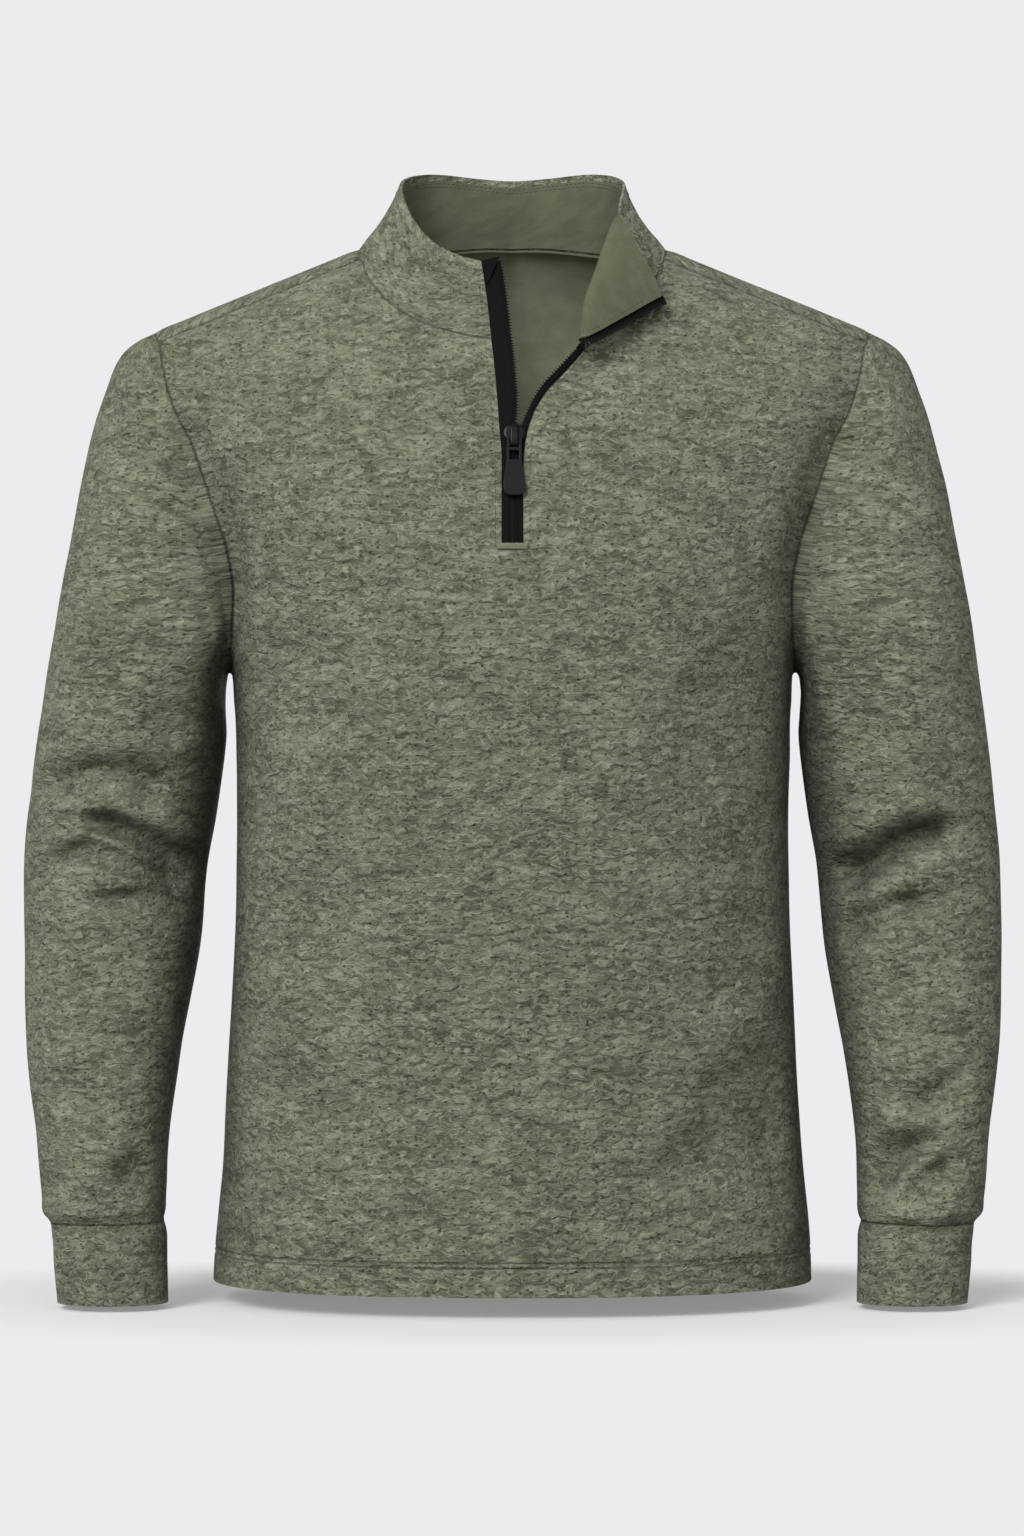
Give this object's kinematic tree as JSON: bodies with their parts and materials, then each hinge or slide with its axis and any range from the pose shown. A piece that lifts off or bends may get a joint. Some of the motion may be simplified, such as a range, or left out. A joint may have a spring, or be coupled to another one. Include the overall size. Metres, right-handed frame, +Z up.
{
  "type": "quarter zip sweater",
  "caption": "Long-sleeved knit pullover with a stand collar and a short front zip, hollow as if worn, the zip partly open and a corner of the collar folded out.",
  "frame": {"origin": "midway between the two points where the shoulders meet the neck, where the wearer's shoulders hold the garment up", "axes": "+Z up from hem to collar, -Y out of the front where the zip is, +X to the side of the turned-out collar corner (the viewer's right)"},
  "size_m": [0.651, 0.2391, 0.7527],
  "materials": {
    "front": "heathered plain knit",
    "back": "heathered plain knit",
    "sleeve_left": "heathered plain knit",
    "sleeve_right": "heathered plain knit",
    "cuff_left": "heathered plain knit, folded double",
    "cuff_right": "heathered plain knit, folded double",
    "collar": "heathered plain knit",
    "collar_facing": "smooth plain knit",
    "zip_tape_left": "woven black tape",
    "zip_tape_right": "woven black tape",
    "zip_end_welt": "smooth plain knit",
    "zip_slider": "black enamel, satin",
    "zip_pull": "black enamel, satin"
  },
  "bodies": {
    "garment": {"front": "front", "back": "back", "sleeve_left": "sleeve_left", "sleeve_right": "sleeve_right", "cuff_left": "cuff_left", "cuff_right": "cuff_right", "collar": "collar", "collar_facing": "collar_facing", "zip_tape_left": "zip_tape_left", "zip_tape_right": "zip_tape_right", "zip_end_welt": "zip_end_welt", "zip_slider": "zip_slider"},
    "pull_tab": {"zip_pull": "zip_pull"}
  },
  "joints": [
    {"name": "pull_tab_swing", "type": "hinge", "parent": "garment", "child": "pull_tab", "pos_m": [0.0012, -0.10686, -0.13266], "axis": [-1, 0, 0], "range_deg": [0, 145]}
  ]
}
